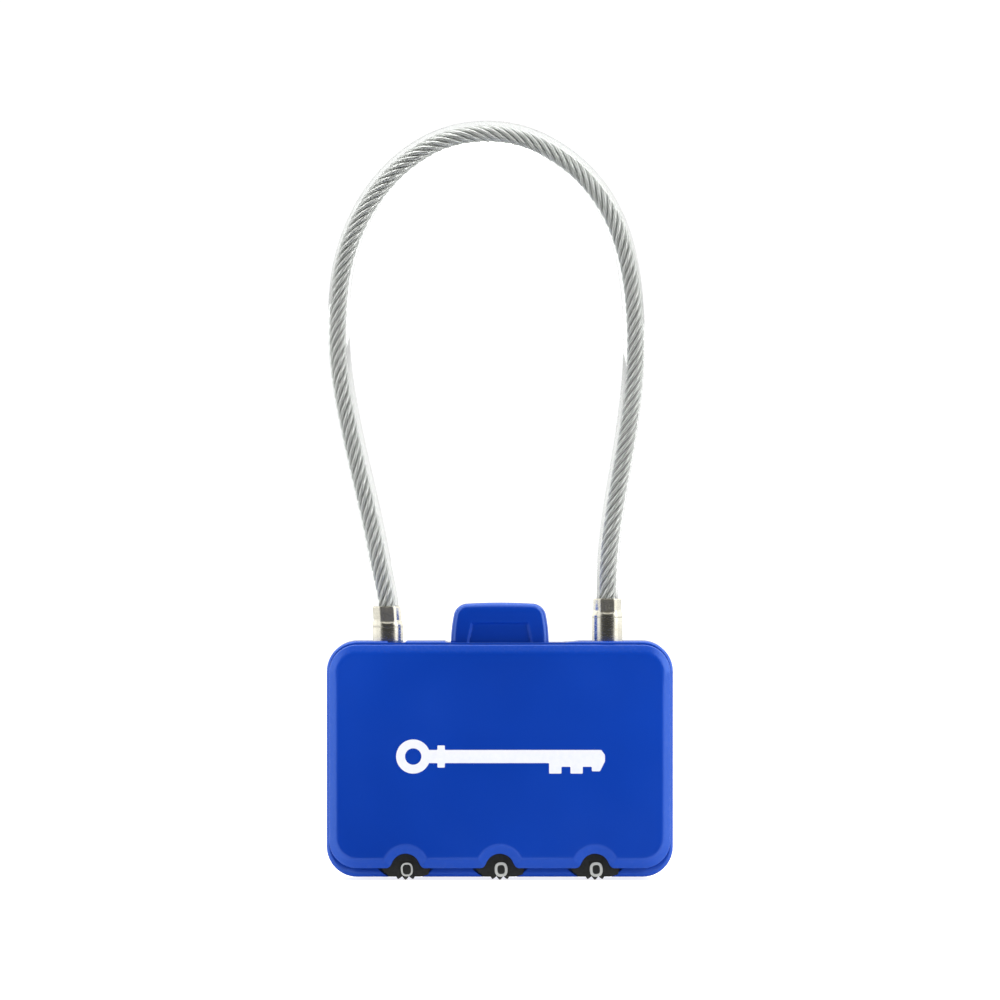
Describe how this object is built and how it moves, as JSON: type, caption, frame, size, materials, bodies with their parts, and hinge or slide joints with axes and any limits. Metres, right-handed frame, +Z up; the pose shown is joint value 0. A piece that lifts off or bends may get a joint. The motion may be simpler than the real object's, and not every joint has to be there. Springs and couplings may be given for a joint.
{
  "type": "cable padlock",
  "caption": "Small combination padlock with a suitcase-shaped case, number wheels along its lower edge, a sliding release and a loop of coated wire cable as its shackle.",
  "frame": {"origin": "under the middle of the case, level with the lowest teeth of the number wheels and at half the case's depth", "axes": "+Z up from the wheels towards the cable loop, -Y out of the front with the wheels' windows, +X to the right seen from the front, towards the removable plug"},
  "size_m": [0.0422, 0.012, 0.0927],
  "materials": {
    "blue_lacquer": "glossy blue lacquer on a cast shell",
    "black_wheel": "matt black moulding with light grey numerals",
    "nickel": "polished nickel plate",
    "steel": "stamped spring steel",
    "brass": "turned brass",
    "clear_sheath": "clear soft vinyl",
    "wire_rope": "bright twisted steel strands"
  },
  "bodies": {
    "case": {"rear_case": "blue_lacquer", "front_cover": "blue_lacquer", "wheel_axle_1": "steel", "wheel_axle_2": "steel", "wheel_axle_3": "steel", "wheel_washer_1": "steel", "wheel_washer_2": "steel", "wheel_washer_3": "steel", "detent_spring": "steel", "return_spring": "steel", "fixed_stem": "nickel", "fixed_crimp": "nickel", "retaining_clip": "steel", "case_screw_1": "steel", "case_screw_2": "steel", "case_screw_3": "steel", "case_screw_4": "steel", "cable_sheath": "clear_sheath", "wire_rope": "wire_rope"},
    "wheel_left": {"number_wheel_1": "black_wheel", "wheel_cam_1": "brass"},
    "wheel_middle": {"number_wheel_2": "black_wheel", "wheel_cam_2": "brass"},
    "wheel_right": {"number_wheel_3": "black_wheel", "wheel_cam_3": "brass"},
    "slider": {"release_handle": "blue_lacquer", "lock_slide": "steel", "slide_rivet_1": "steel", "slide_rivet_2": "steel"},
    "plug": {"plug_stem": "nickel", "plug_crimp": "nickel"}
  },
  "joints": [
    {"name": "wheel_left_turn", "type": "hinge", "parent": "case", "child": "wheel_left", "pos_m": [-0.0115, -0.003, 0.0044], "axis": [0, 1, 0], "continuous": true},
    {"name": "wheel_middle_turn", "type": "hinge", "parent": "case", "child": "wheel_middle", "pos_m": [0, -0.003, 0.0044], "axis": [0, 1, 0], "continuous": true},
    {"name": "wheel_right_turn", "type": "hinge", "parent": "case", "child": "wheel_right", "pos_m": [0.0116, -0.003, 0.0044], "axis": [0, 1, 0], "continuous": true},
    {"name": "release_slide", "type": "slide", "parent": "case", "child": "slider", "axis": [1, 0, 0], "range_m": [0, 0.0016], "stiffness_N_per_m": 200, "springref_m": -0.002, "deforming": ["return_spring"]},
    {"name": "plug_pull", "type": "slide", "parent": "case", "child": "plug", "axis": [0, 0, 1], "range_m": [0, 0.0075], "deforming": ["cable_sheath", "wire_rope"]}
  ],
  "couplings": [
    {"joint": "plug_pull", "follows": "release_slide", "ratio": 4.6875}
  ]
}
